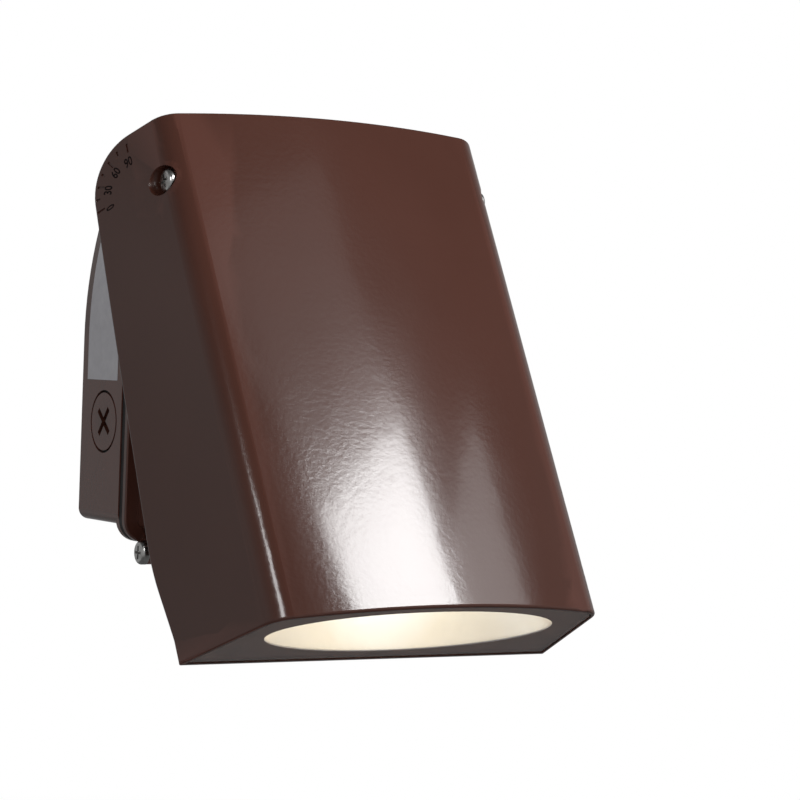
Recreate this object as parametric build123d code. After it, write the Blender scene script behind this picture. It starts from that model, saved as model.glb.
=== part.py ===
from build123d import *
import math
import os

# Wall pack light: an arched wall box with a cover, and a lamp head that tilts on the cover's barrel.
# Millimetres. X runs across the wall, the wall is the plane Y = 0 and the light stands out towards -Y.
# Z is up, and Z = 0 is the height of the side conduit entries. The head is drawn hanging straight down,
# in its 0 degree position, and is turned about the pivot to its rest tilt when it is written.

# ---- wall box ----
BOX_HALF_WIDTH = 58.8
BOX_DEPTH = 33.5
BOX_BOTTOM = -34.0
BOX_TOP = 84.0
BOX_WALL = 3.0
BOX_BACK_WALL = 3.2
BOX_BOTTOM_CORNER = 3.8
BOX_TOP_CORNER = 14.0
BOX_BACK_EDGE = 1.4
SHOULDER = 28.0              # height where the sides begin to curve in
SIDE_RADIUS = 173.0
ARCH_RISE = 6.0              # of the top edge over its corners
FLANGE_THICKNESS = 2.5
WIRE_ENTRY_HEIGHT = 25.0
WIRE_ENTRY_RADIUS = 11.1
SINGLE_GANG_SPACING = 83.3   # upright pair of fixing slots
OCTAGON_SPACING = 88.9       # level pair of fixing slots
FIXING_SLOT_WIDTH = 5.2
FIXING_SLOT_LENGTH = 9.0

# ---- side conduit entries and their plugs ----
CONDUIT_DEPTH = 19.5         # of the entry's axis from the wall
CONDUIT_RADIUS = 10.6
CONDUIT_BOSS_RADIUS = 13.6
CONDUIT_BOSS_LENGTH = 10.5
PLUG_THREAD_GAP = 0.05
PLUG_LENGTH = 8.0
PLUG_RING_WIDTH = 0.8        # dark groove round the plug's face
PLUG_RING_DEPTH = 1.3
PLUG_SLOT_LENGTH = 11.6
PLUG_SLOT_WIDTH = 2.0
PLUG_SLOT_DEPTH = 2.4
PLUG_SLOT_TURN = 50.0
ORING_RADIUS = 0.9

# ---- gasket and cover ----
COVER_HALF_WIDTH = 58.3
COVER_BOTTOM = -39.5
COVER_TOP = 83.6
COVER_BOTTOM_CORNER = 7.5
COVER_TOP_CORNER = 13.8
GASKET_THICKNESS = 2.3
GASKET_WIDTH = 3.2
COVER_THICKNESS = 2.4
COVER_EDGE = 0.7
CHAMBER_INSET = 4.4          # of the raised chamber from the cover's edge
CHAMBER_HEIGHT = 12.0
CHAMBER_WALL = 3.0
CHAMBER_EDGE = 2.6
HOOK_WIDTH = 14.0
HOOK_SPREAD = 24.0
HOOK_REACH = 5.0
HOOK_THICKNESS = 2.2
HOOK_GAP = 0.3

# ---- hinge barrel, pivots and tilt ----
PIVOT_Y = -54.0
PIVOT_Z = 78.0
DIAL_RADIUS = 18.8           # of the cheek's upper rear corner, centred on the pivot
BARREL_RADIUS = 13.0
BARREL_HALF_LENGTH = 48.0
BARREL_WALL = 2.8
BARREL_END_WALL = 4.0
BARREL_END_EDGE = 0.6
REST_TILT = 22.2
PIVOT_BOLT_RADIUS = 4.0
PIVOT_RUNNING_GAP = 0.06
PIVOT_THREAD_RADIUS = 3.0
PIVOT_THREAD_LENGTH = 7.0
PIVOT_HEAD_RADIUS = 6.0
PIVOT_HEAD_HEIGHT = 3.6
PIVOT_HEX_SIZE = 5.0
PIVOT_HEAD_EDGE = 0.5
WASHER_RADIUS = 6.2
WASHER_THICKNESS = 1.4
FACE_GAP = 0.1               # between flat faces that slide on each other
THREAD_GAP = 0.05            # between a screw and its tapped hole

# ---- lower cover screws ----
COVER_SCREW_Y = -41.0
COVER_SCREW_Z = -42.6
LUG_RADIUS = 3.9
EAR_OUTER_X = 51.9
EAR_THICKNESS = 5.0
LUG_LENGTH = 12.0
EAR_GAP = 0.3
LUG_DROP_GAP = 0.5           # between the lug's web and the cover's lower edge
SCREW_HEAD_RADIUS = 4.0
SCREW_HEAD_HEIGHT = 2.6
SCREW_HEAD_EDGE = 1.3
SCREW_RADIUS = 2.0
SCREW_CLEARANCE = 0.2
CROSS_LENGTH = 4.4
CROSS_WIDTH = 0.9
CROSS_DEPTH = 1.3
COVER_SCREW_LENGTH = 15.0

# ---- hood, in its 0 degree position ----
HEAD_BOTTOM = -79.4
HEAD_TOP = PIVOT_Z + DIAL_RADIUS  # crest of the cheek's dial arc
TOP_RISE = 6.0               # degrees, by which the top edge climbs from the dial arc to the front
HEAD_BACK = PIVOT_Y + DIAL_RADIUS  # rear edge of the cheeks
HEAD_BACK_LOW = -41.2        # rear of the closed lower ring at its foot
HEAD_BACK_LEAN = 0.6         # how far back the ring leans at the step
STEP_LOW = -71.5             # the rear edge steps forward between these heights
STEP_HIGH = -47.5
STEP_LOW_ROUND = 14.0
STEP_HIGH_ROUND = 70.0
BACK_HALF_BOTTOM = 69.0
BACK_HALF_TOP = 72.6
FRONT_HALF_BOTTOM = 58.4
FRONT_HALF_TOP = 59.0
FRONT_Y_BOTTOM = -89.6
FRONT_Y_TOP = -66.8
BULGE_BOTTOM = 10.4
BULGE_TOP = 5.2
HEAD_CORNER = 10.0
HOOD_WALL = 2.8
TOP_LIP_WIDTH = 4.6          # how far the top wall reaches back from the front corners
TOP_WALL = 2.8
LOW_RING_TOP = -57.0
RIM_WALL = 1.4               # round the pane, which sits in a rebate of the lower edge
PANE_SET_BACK = 0.3          # of the pane from the lower edge
HOOD_EDGE = 0.8
PIVOT_BOSS_RADIUS = 8.0
LOCK_Y = -63.5
LOCK_Z = 75.3
LOCK_RECESS_RADIUS = 5.0
LOCK_RECESS_FLOOR_X = 57.6
LOCK_BOSS_RADIUS = 6.6
LOCK_SCREW_GAP = 0.1         # from the screw's tip to the barrel's end
OPEN_BACK = -16.0            # sections run back to here before the side profile trims them
SECTION_MARGIN = 8.0

# ---- tilt dial on the left cheek ----
DIAL_SHIFT_Y = 0.8           # of the marks' centre from the pivot
DIAL_SHIFT_Z = -1.1
DIAL_MARK_RADIUS = 16.8
DIAL_ZERO_ANGLE = -6.0
DIAL_STEP = 15
DIAL_LAST = 90
DIAL_LONG_MARK = 3.2
DIAL_SHORT_MARK = 1.7
DIAL_MARK_WIDTH = 0.75
DIAL_MARK_DEPTH = 0.45

# ---- lens, its border and seal ----
LENS_GAP = 0.4               # round the lens
LENS_THICKNESS = 3.0
LENS_BACK_GAP = 0.4
MASK_THICKNESS = 0.2
LENS_GASKET_THICKNESS = 1.1
LENS_GASKET_WIDTH = 2.4
WINDOW_Y = -70.0
WINDOW_HALF_X = 51.0
WINDOW_HALF_Y = 21.8

# ---- lamp housing ----
HOUSING_GAP = 0.6
HOUSING_WALL = 2.2
HOUSING_BACK = -52.0         # rear of the housing above the ring, clear of the cover's chamber
HOUSING_STEP_HIGH = -48.2
ROOF_HEIGHT = -38.0
ROOF_THICKNESS = 4.0
FIN_COUNT = 9
FIN_PITCH = 8.0
FIN_THICKNESS = 2.0
FIN_TOP = 14.0
FIN_INSET = 6.5              # of the fins from the hood's outer face
RAIL_HALF_LENGTH = 47.0
RAIL_LOW = 6.0
RAIL_HIGH = 20.0
RAIL_THICKNESS = 4.4
RAIL_CORNER = 3.0
RAIL_SINK = 1.9              # depth of the rail's screw seats
TOP_FIX_X = 41.5
TOP_FIX_Z = 13.0
TOP_BOSS_RADIUS = 4.2
LOW_FIX_X = 47.0
LOW_FIX_Z = -66.0
LOW_BOSS_LENGTH = 9.0
LOW_BOSS_RADIUS = 4.0
HOUSING_SCREW_LENGTH = 9.0

# ---- light engine ----
BOARD_Y = -70.5
BOARD_LENGTH = 84.0
BOARD_WIDTH = 23.0
BOARD_CORNER = 2.0
BOARD_THICKNESS = 1.6
PAD_THICKNESS = 0.4
LED_COLUMNS = 9
LED_ROWS = 3
LED_PITCH_X = 5.0
LED_PITCH_Y = 5.0
LED_SIZE = 3.0
LED_HEIGHT = 0.7
BOARD_FIX_X = 34.5
BOARD_FIX_Y = 8.5
BOARD_SCREW_RADIUS = 1.25
BOARD_SCREW_HEAD = 2.5
BOARD_SCREW_HEIGHT = 1.6
BOARD_SCREW_LENGTH = 5.0
BOARD_SCREW_GAP = 0.15
BOARD_TAP_DEPTH = 3.2
CONNECTOR_X = 37.0
CONNECTOR_LENGTH = 8.0
CONNECTOR_WIDTH = 5.0
CONNECTOR_HEIGHT = 3.0
CONNECTOR_CORNER = 0.6
REFLECTOR_WALL = 0.9
REFLECTOR_TOP_X = 28.0
REFLECTOR_TOP_Y = 10.5
REFLECTOR_MID_SHARE = 0.6    # of the way from the top ellipse to the window, at mid height
REFLECTOR_GAP = 0.3

# ---- driver, its screws, leads and grommets ----
DRIVER_LENGTH = 80.0
DRIVER_WIDTH = 40.0
DRIVER_DEPTH = 22.0
DRIVER_CORNER = 3.0
DRIVER_EDGE = 1.2
DRIVER_Z = 22.0
DRIVER_TAB = 7.0
DRIVER_TAB_THICKNESS = 2.0
DRIVER_SCREW_RADIUS = 1.75
DRIVER_SCREW_HEAD = 3.4
DRIVER_SCREW_HEIGHT = 2.2
DRIVER_SCREW_LENGTH = 6.5
DRIVER_BOSS_RADIUS = 4.2
DRIVER_BOSS_HEIGHT = 5.0
GROMMET_RADIUS = 3.5
GROMMET_LIP = 1.0
GROMMET_LIP_HEIGHT = 1.2
HEAD_GROMMET_X = 50.0
LEAD_RADIUS = 1.1
LEAD_BORE_RADIUS = 1.6       # of the grommet and of the hollow pivot bolts
LEAD_TURN_GAP = 2.2          # from a pivot bolt's end to the lead's turn in the hood's boss
LEAD_WAY_WIDTH = 3.4
LEAD_WAY_X = -20.0           # where the driver's lead passes from the chamber into the barrel
SUPPLY_LEAD_RADIUS = 1.5
SUPPLY_LEAD_PITCH = 7.0
SUPPLY_LEAD_DROP = 14.0
SUPPLY_LEAD_BEND = 5.5
GROUND_X = -30.0
GROUND_Z = -16.0
GROUND_BOSS_RADIUS = 4.5
GROUND_BOSS_HEIGHT = 6.0
GROUND_SCREW_LENGTH = 5.0
LABEL_THICKNESS = 0.12
LABEL_BOTTOM = 14.0
LABEL_TOP = 66.0
LABEL_BACK = -5.4
LABEL_FRONT = -29.8

# ---- levels that follow from the sizes above ----
GASKET_FRONT = -(BOX_DEPTH + GASKET_THICKNESS)
COVER_FRONT = GASKET_FRONT - COVER_THICKNESS
CHAMBER_FRONT = COVER_FRONT - CHAMBER_HEIGHT
CHAMBER_CEILING = CHAMBER_FRONT + CHAMBER_WALL
HOOD_FACE_X = BARREL_HALF_LENGTH + WASHER_THICKNESS + 2 * FACE_GAP
LENS_BOTTOM = HEAD_BOTTOM + PANE_SET_BACK
LENS_TOP = LENS_BOTTOM + LENS_THICKNESS
MASK_TOP = LENS_TOP + MASK_THICKNESS
HOUSING_BOTTOM = MASK_TOP + LENS_GASKET_THICKNESS
RING_INNER_BACK = HEAD_BACK_LOW - HOOD_WALL
BOARD_TOP = ROOF_HEIGHT - PAD_THICKNESS
BOARD_BOTTOM = BOARD_TOP - BOARD_THICKNESS
FAR = 200.0


def slab(face, y_back, y_front):
    """Solid between two depths, from an outline drawn across X and Z."""
    return extrude(Plane.XZ.offset(-y_back) * face, y_back - y_front)


def prism(points, low_x=-FAR, high_x=FAR, rounds=()):
    """Solid along X from a side profile of (y, z) points; rounds gives (y, z, radius) of its corners."""
    face = make_face(Polyline(*points, close=True))
    for y, z, radius in rounds:
        corner = face.vertices().sort_by_distance((y, z, 0))[0]
        face = fillet(corner, radius)
    return extrude(Plane.YZ.offset(low_x) * face, high_x - low_x)


def rod(start, direction, radius, length):
    """Cylinder from a point along a direction."""
    return extrude(Plane(origin=start, z_dir=direction) * Circle(radius), length)


def both_sides(shape):
    """The shape and its mirror image across X = 0, as one group."""
    return Compound([shape, mirror(shape, Plane.YZ)])


def side_x(half_width, z):
    """Half-width at a height above the shoulder, on the curved side."""
    return half_width - SIDE_RADIUS + math.sqrt(SIDE_RADIUS ** 2 - (z - SHOULDER) ** 2)


def arch_sag(x):
    """How far the box's arched top has dropped at a distance from the middle."""
    half_chord = side_x(BOX_HALF_WIDTH, BOX_TOP - ARCH_RISE)
    radius = (half_chord ** 2 + ARCH_RISE ** 2) / (2 * ARCH_RISE)
    return radius - math.sqrt(radius ** 2 - x ** 2)


def arched_face(half_width, bottom, top, bottom_corner, top_corner):
    """Outline with straight lower sides, sides curving in above the shoulder and an arched top."""
    corner_z = top - ARCH_RISE
    middle_z = (SHOULDER + corner_z) / 2
    middle_x = side_x(half_width, middle_z)
    corner_x = side_x(half_width, corner_z)
    edges = [
        Line((-half_width, bottom), (half_width, bottom)),
        Line((half_width, bottom), (half_width, SHOULDER)),
        ThreePointArc((half_width, SHOULDER), (middle_x, middle_z), (corner_x, corner_z)),
        ThreePointArc((corner_x, corner_z), (0, top), (-corner_x, corner_z)),
        ThreePointArc((-corner_x, corner_z), (-middle_x, middle_z), (-half_width, SHOULDER)),
        Line((-half_width, SHOULDER), (-half_width, bottom)),
    ]
    face = make_face(edges)
    for x, z, radius in ((half_width, bottom, bottom_corner), (corner_x, corner_z, top_corner)):
        for side in (-1, 1):
            corner = face.vertices().sort_by_distance((side * x, z, 0))[0]
            face = fillet(corner, radius)
    return face


def pan_screw(radius, length, head_radius, head_height):
    """Pan-head screw with a cross recess, pointing down from the underside of its head at Z = 0."""
    head = extrude(Circle(head_radius), head_height)
    head = fillet(head.edges().group_by(Axis.Z)[-1], min(SCREW_HEAD_EDGE, head_height * 0.6))
    share = head_radius / SCREW_HEAD_RADIUS
    arm = Box(CROSS_LENGTH * share, CROSS_WIDTH * share, CROSS_DEPTH * share)
    cross = arm + Rot(0, 0, 90) * arm
    head -= Pos(0, 0, head_height - CROSS_DEPTH * share / 2 + 0.01) * cross
    return head + Pos(0, 0, -length) * extrude(Circle(radius), length)


def set_screw_at(screw, point, outward):
    """Screw with its head's underside at the point and its head facing outward."""
    return Plane(origin=point, z_dir=outward) * screw


def box_face():
    return arched_face(BOX_HALF_WIDTH, BOX_BOTTOM, BOX_TOP, BOX_BOTTOM_CORNER, BOX_TOP_CORNER)


def cover_face():
    return arched_face(COVER_HALF_WIDTH, COVER_BOTTOM, COVER_TOP, COVER_BOTTOM_CORNER, COVER_TOP_CORNER)


def lower_lug(sign):
    """Tapped lug below the box flange that takes a cover screw."""
    start_x = EAR_OUTER_X - EAR_THICKNESS - EAR_GAP
    top = COVER_BOTTOM - LUG_DROP_GAP
    low = COVER_SCREW_Z - LUG_RADIUS
    web = prism(
        [
            (-(BOX_DEPTH - FLANGE_THICKNESS), COVER_BOTTOM + 1.0),
            (-(BOX_DEPTH - 0.2), COVER_BOTTOM + 1.0),
            (-(BOX_DEPTH - 0.2), top),
            (COVER_SCREW_Y, top),
            (COVER_SCREW_Y, low),
            (-(BOX_DEPTH - FLANGE_THICKNESS) - 1.5, low),
            (-(BOX_DEPTH - FLANGE_THICKNESS), low + 1.5),
        ],
        start_x - LUG_LENGTH,
        start_x,
    )
    knuckle = rod((start_x, COVER_SCREW_Y, COVER_SCREW_Z), (-1, 0, 0), LUG_RADIUS, LUG_LENGTH)
    trim = prism([(0, top), (0, low - 1), (-FAR, low - 1), (-FAR, top)])
    lug = web + (knuckle & trim)
    lug -= rod((start_x, COVER_SCREW_Y, COVER_SCREW_Z), (-1, 0, 0), SCREW_RADIUS + THREAD_GAP, LUG_LENGTH)
    return lug if sign > 0 else mirror(lug, Plane.YZ)


def fixing_slot(x, z, along_x):
    slot = SlotOverall(FIXING_SLOT_LENGTH, FIXING_SLOT_WIDTH, rotation=0 if along_x else 90)
    return slab(Pos(x, z) * slot, 1.0, -(BOX_BACK_WALL + 1.0))


def make_back_box():
    outer = box_face()
    body = slab(outer, 0, -BOX_DEPTH)
    body = fillet(body.edges().group_by(Axis.Y)[-1], BOX_BACK_EDGE)
    body += slab(cover_face(), -(BOX_DEPTH - FLANGE_THICKNESS), -BOX_DEPTH)
    for sign in (-1, 1):
        start = (sign * (BOX_HALF_WIDTH - 0.5), -CONDUIT_DEPTH, 0)
        body += rod(start, (-sign, 0, 0), CONDUIT_BOSS_RADIUS, CONDUIT_BOSS_LENGTH - 0.5)
    cavity = slab(offset(outer, -BOX_WALL), -BOX_BACK_WALL, -BOX_DEPTH)
    for sign in (-1, 1):
        inner = (sign * (BOX_HALF_WIDTH - CONDUIT_BOSS_LENGTH), -CONDUIT_DEPTH, 0)
        cavity -= rod(inner, (sign, 0, 0), CONDUIT_BOSS_RADIUS, CONDUIT_BOSS_LENGTH)
    boss_start = (GROUND_X, -BOX_BACK_WALL, GROUND_Z)
    cavity -= rod(boss_start, (0, -1, 0), GROUND_BOSS_RADIUS, GROUND_BOSS_HEIGHT)
    body -= cavity
    for sign in (-1, 1):
        edge = (sign * (BOX_HALF_WIDTH + 1.0), -CONDUIT_DEPTH, 0)
        body -= rod(edge, (-sign, 0, 0), CONDUIT_RADIUS, CONDUIT_BOSS_LENGTH + 2.0)
        body += lower_lug(sign)
    ground_top = (GROUND_X, -BOX_BACK_WALL - GROUND_BOSS_HEIGHT, GROUND_Z)
    body -= rod(ground_top, (0, 1, 0), SCREW_RADIUS + THREAD_GAP, GROUND_BOSS_HEIGHT)
    body -= rod((0, 1, WIRE_ENTRY_HEIGHT), (0, -1, 0), WIRE_ENTRY_RADIUS, BOX_BACK_WALL + 2)
    for side in (-1, 1):
        body -= fixing_slot(0, WIRE_ENTRY_HEIGHT + side * SINGLE_GANG_SPACING / 2, along_x=False)
        body -= fixing_slot(side * OCTAGON_SPACING / 2, WIRE_ENTRY_HEIGHT, along_x=True)
    return body


def make_conduit_plug():
    """Plug of the left entry, flush with the box's side."""
    radius = CONDUIT_RADIUS - PLUG_THREAD_GAP
    face = (-BOX_HALF_WIDTH, -CONDUIT_DEPTH, 0)
    plug = rod(face, (1, 0, 0), radius, PLUG_LENGTH)
    groove = rod(face, (1, 0, 0), radius + 1, PLUG_RING_DEPTH)
    groove -= rod(face, (1, 0, 0), radius - PLUG_RING_WIDTH, PLUG_RING_DEPTH)
    plug -= groove
    neck_x = -BOX_HALF_WIDTH + PLUG_RING_DEPTH
    neck = Plane(origin=(neck_x, -CONDUIT_DEPTH, 0), z_dir=(1, 0, 0)) * Circle(radius + 1)
    seat = extrude(neck, 2 * ORING_RADIUS)
    seat -= rod((neck_x, -CONDUIT_DEPTH, 0), (1, 0, 0), radius - ORING_RADIUS, 2 * ORING_RADIUS)
    plug -= seat
    arm = Box(PLUG_SLOT_LENGTH, PLUG_SLOT_WIDTH, 2 * PLUG_SLOT_DEPTH)
    cross = Rot(0, 0, PLUG_SLOT_TURN) * (arm + Rot(0, 0, 90) * arm)
    return plug - Plane(origin=face, z_dir=(-1, 0, 0)) * cross


def make_plug_oring():
    """Flat-sided ring in the groove behind the left plug's face."""
    radius = CONDUIT_RADIUS - PLUG_THREAD_GAP
    start = (-BOX_HALF_WIDTH + PLUG_RING_DEPTH, -CONDUIT_DEPTH, 0)
    ring = rod(start, (1, 0, 0), radius, 2 * ORING_RADIUS)
    return ring - rod(start, (1, 0, 0), radius - ORING_RADIUS, 2 * ORING_RADIUS)


def make_box_gasket():
    outer = cover_face()
    ring = slab(outer, -BOX_DEPTH, GASKET_FRONT)
    return ring - slab(offset(outer, -GASKET_WIDTH), -BOX_DEPTH, GASKET_FRONT)


def make_cover():
    outer = cover_face()
    plate = slab(outer, GASKET_FRONT, COVER_FRONT)
    plate = fillet(plate.edges().group_by(Axis.Y)[0], COVER_EDGE)
    chamber = slab(offset(outer, -CHAMBER_INSET), GASKET_FRONT, CHAMBER_FRONT)
    chamber = fillet(chamber.edges().group_by(Axis.Y)[0], CHAMBER_EDGE)
    barrel = rod((-BARREL_HALF_LENGTH, PIVOT_Y, PIVOT_Z), (1, 0, 0), BARREL_RADIUS, 2 * BARREL_HALF_LENGTH)
    barrel = chamfer(barrel.edges().filter_by(GeomType.CIRCLE), BARREL_END_EDGE)
    web = prism(
        [
            (GASKET_FRONT - 1, PIVOT_Z),
            (PIVOT_Y, PIVOT_Z),
            (PIVOT_Y, PIVOT_Z - BARREL_RADIUS),
            (GASKET_FRONT - 1, PIVOT_Z - BARREL_RADIUS),
        ],
        1 - BARREL_HALF_LENGTH,
        BARREL_HALF_LENGTH - 1,
    )
    body = plate + chamber + barrel + web
    inner_half = BARREL_HALF_LENGTH - BARREL_END_WALL
    inner_barrel = rod(
        (-inner_half, PIVOT_Y, PIVOT_Z), (1, 0, 0), BARREL_RADIUS - BARREL_WALL, 2 * inner_half
    )
    hollow = slab(offset(outer, -CHAMBER_INSET - CHAMBER_WALL), GASKET_FRONT, CHAMBER_CEILING)
    for side in (-1, 1):
        boss = (side * (DRIVER_LENGTH + DRIVER_TAB) / 2, CHAMBER_CEILING, DRIVER_Z)
        hollow -= rod(boss, (0, 1, 0), DRIVER_BOSS_RADIUS, DRIVER_BOSS_HEIGHT)
    body -= hollow
    body -= inner_barrel
    for side in (-1, 1):
        bore = (side * (BARREL_HALF_LENGTH + 1), PIVOT_Y, PIVOT_Z)
        body -= rod(bore, (-side, 0, 0), PIVOT_BOLT_RADIUS + PIVOT_RUNNING_GAP, BARREL_END_WALL + 2)
        tap = (side * (DRIVER_LENGTH + DRIVER_TAB) / 2, CHAMBER_CEILING + DRIVER_BOSS_HEIGHT, DRIVER_Z)
        body -= rod(tap, (0, -1, 0), DRIVER_SCREW_RADIUS + THREAD_GAP, DRIVER_BOSS_HEIGHT + 1.5)
        body += make_ear(side)
        body += make_hook(side)
    way_low = PIVOT_Z - BARREL_RADIUS + BARREL_WALL + 2
    way = slab(
        Pos(LEAD_WAY_X, (way_low + PIVOT_Z) / 2) * Rectangle(5 * LEAD_WAY_WIDTH, PIVOT_Z - way_low),
        CHAMBER_CEILING + 6,
        PIVOT_Y,
    )
    return body - way


def make_ear(side):
    """Ear below the cover's edge that the cover screw passes through."""
    low = COVER_SCREW_Z - LUG_RADIUS
    inner_x = EAR_OUTER_X - EAR_THICKNESS
    ear = prism(
        [
            (GASKET_FRONT, COVER_BOTTOM + 3.0),
            (COVER_FRONT, COVER_BOTTOM + 3.0),
            (COVER_SCREW_Y - LUG_RADIUS, COVER_SCREW_Z + 1.5),
            (COVER_SCREW_Y - LUG_RADIUS, low),
            (GASKET_FRONT, low),
        ],
        inner_x,
        EAR_OUTER_X,
        rounds=[
            (COVER_SCREW_Y - LUG_RADIUS, low, LUG_RADIUS * 0.9),
            (GASKET_FRONT, low, LUG_RADIUS * 0.9),
        ],
    )
    hole = rod((inner_x - 1, COVER_SCREW_Y, COVER_SCREW_Z), (1, 0, 0), SCREW_RADIUS + SCREW_CLEARANCE, 20)
    ear -= hole
    return ear if side > 0 else mirror(ear, Plane.YZ)


def make_hook(side):
    """Tab that reaches past the gasket and locates the cover under the box's top wall."""
    top = COVER_TOP - GASKET_WIDTH - HOOK_GAP - arch_sag(HOOK_SPREAD + HOOK_WIDTH / 2)
    tab = prism(
        [
            (GASKET_FRONT - 1.0, top),
            (-(BOX_DEPTH - HOOK_REACH), top),
            (-(BOX_DEPTH - HOOK_REACH), top - HOOK_THICKNESS),
            (GASKET_FRONT - 1.0, top - HOOK_THICKNESS),
        ],
        side * HOOK_SPREAD - HOOK_WIDTH / 2,
        side * HOOK_SPREAD + HOOK_WIDTH / 2,
    )
    return tab


def make_cover_screws():
    screw = pan_screw(SCREW_RADIUS, COVER_SCREW_LENGTH, SCREW_HEAD_RADIUS, SCREW_HEAD_HEIGHT)
    return both_sides(set_screw_at(screw, (-EAR_OUTER_X, COVER_SCREW_Y, COVER_SCREW_Z), (-1, 0, 0)))


def make_side_label():
    """Thin sticker that follows the left side of the box above the conduit entry."""
    outer = box_face()
    skin = slab(offset(outer, LABEL_THICKNESS), LABEL_BACK, LABEL_FRONT)
    skin -= slab(outer, 1, -BOX_DEPTH - 1)
    window = Pos(-FAR / 2, 0, (LABEL_BOTTOM + LABEL_TOP) / 2) * Box(FAR, FAR, LABEL_TOP - LABEL_BOTTOM)
    return skin & window


def make_driver():
    """Potted driver on the chamber's bosses, with its two screw tabs."""
    front = CHAMBER_CEILING + DRIVER_BOSS_HEIGHT
    outline = RectangleRounded(DRIVER_LENGTH, DRIVER_WIDTH, DRIVER_CORNER)
    body = slab(Pos(0, DRIVER_Z) * outline, front + DRIVER_DEPTH, front)
    body = fillet(body.edges().group_by(Axis.Y)[-1], DRIVER_EDGE)
    tabs = slab(
        Pos(0, DRIVER_Z) * SlotOverall(DRIVER_LENGTH + 2 * DRIVER_TAB, 2 * DRIVER_BOSS_RADIUS),
        front + DRIVER_TAB_THICKNESS,
        front,
    )
    body += tabs
    for side in (-1, 1):
        centre = (side * (DRIVER_LENGTH + DRIVER_TAB) / 2, front + FAR / 2, DRIVER_Z)
        body -= rod(centre, (0, -1, 0), DRIVER_SCREW_RADIUS + SCREW_CLEARANCE, FAR)
    return body


def make_driver_screws():
    front = CHAMBER_CEILING + DRIVER_BOSS_HEIGHT + DRIVER_TAB_THICKNESS
    screw = pan_screw(DRIVER_SCREW_RADIUS, DRIVER_SCREW_LENGTH, DRIVER_SCREW_HEAD, DRIVER_SCREW_HEIGHT)
    return both_sides(set_screw_at(screw, (-(DRIVER_LENGTH + DRIVER_TAB) / 2, front, DRIVER_Z), (0, 1, 0)))


def make_ground_screw():
    top = (GROUND_X, -BOX_BACK_WALL - GROUND_BOSS_HEIGHT, GROUND_Z)
    screw = pan_screw(SCREW_RADIUS, GROUND_SCREW_LENGTH, SCREW_HEAD_RADIUS, SCREW_HEAD_HEIGHT)
    return set_screw_at(screw, top, (0, -1, 0))


def make_grommet(wall):
    """Rubber bush along Z, lipped on both sides of a wall that fills Z = 0 to its thickness."""
    bush = extrude(Circle(GROMMET_RADIUS - THREAD_GAP), wall)
    lip = extrude(Circle(GROMMET_RADIUS + GROMMET_LIP), GROMMET_LIP_HEIGHT)
    lip = fillet(lip.edges().group_by(Axis.Z)[-1], GROMMET_LIP_HEIGHT * 0.6)
    bush += Pos(0, 0, wall) * lip
    bush += mirror(lip, Plane.XY)
    return bush - Pos(0, 0, -FAR / 2) * extrude(Circle(LEAD_BORE_RADIUS), FAR)


def lead_along(points, radii, radius):
    """Round lead that follows straight runs joined by tangent arcs."""
    path = FilletPolyline(*points, radius=radii)
    return sweep(Plane(origin=path @ 0, z_dir=path % 0) * Circle(radius), path=path)


def make_driver_lead():
    """Output lead from the driver's top into the barrel, ending on the pivot axis."""
    depth = CHAMBER_CEILING + DRIVER_BOSS_HEIGHT + 3.0
    top = DRIVER_Z + DRIVER_WIDTH / 2
    points = [
        (LEAD_WAY_X - 6, depth, top),
        (LEAD_WAY_X - 6, depth, PIVOT_Z - 12),
        (LEAD_WAY_X - 2, PIVOT_Y + 6, PIVOT_Z - 3.5),
        (LEAD_WAY_X + 7, PIVOT_Y, PIVOT_Z),
        (0, PIVOT_Y, PIVOT_Z),
    ]
    return lead_along(points, [8.0, 8.0, 8.0], LEAD_RADIUS)


def make_supply_leads():
    """Three leads from the driver's lower edge, looped back behind it in the wiring space."""
    depth = CHAMBER_CEILING + DRIVER_BOSS_HEIGHT + DRIVER_DEPTH / 2
    start_z = DRIVER_Z - DRIVER_WIDTH / 2
    leads = []
    for index in (-1, 0, 1):
        x = index * SUPPLY_LEAD_PITCH
        points = [
            (x, depth, start_z),
            (x, depth, start_z - SUPPLY_LEAD_DROP),
            (x, -BOX_BACK_WALL - SUPPLY_LEAD_DROP / 2, start_z - SUPPLY_LEAD_DROP),
            (x, -BOX_BACK_WALL - SUPPLY_LEAD_DROP / 2, WIRE_ENTRY_HEIGHT + (2 + index) * SUPPLY_LEAD_PITCH),
        ]
        leads.append(lead_along(points, [SUPPLY_LEAD_BEND, SUPPLY_LEAD_BEND], SUPPLY_LEAD_RADIUS))
    return Compound(leads)


def at_share(share, low, high):
    return low + (high - low) * share


def head_section(z, inset):
    """Level section of the hood: flared cheeks, rounded corners and a bulged front."""
    share = (z - HEAD_BOTTOM) / (HEAD_TOP - HEAD_BOTTOM)
    back_half = at_share(share, BACK_HALF_BOTTOM, BACK_HALF_TOP)
    front_half = at_share(share, FRONT_HALF_BOTTOM, FRONT_HALF_TOP)
    front_y = at_share(share, FRONT_Y_BOTTOM, FRONT_Y_TOP)
    bulge = at_share(share, BULGE_BOTTOM, BULGE_TOP)
    flare = (back_half - front_half) / (HEAD_BACK - front_y)
    open_half = back_half + flare * (OPEN_BACK - HEAD_BACK)
    edges = [
        Line((-open_half, OPEN_BACK), (-front_half, front_y)),
        ThreePointArc((-front_half, front_y), (0, front_y - bulge), (front_half, front_y)),
        Line((front_half, front_y), (open_half, OPEN_BACK)),
        Line((open_half, OPEN_BACK), (-open_half, OPEN_BACK)),
    ]
    face = make_face(edges)
    for side in (-1, 1):
        corner = face.vertices().sort_by_distance((side * front_half, front_y, 0))[0]
        face = fillet(corner, HEAD_CORNER)
    if inset > 0:
        face = offset(face, -inset)
    return Plane.XY.offset(z) * face


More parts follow.
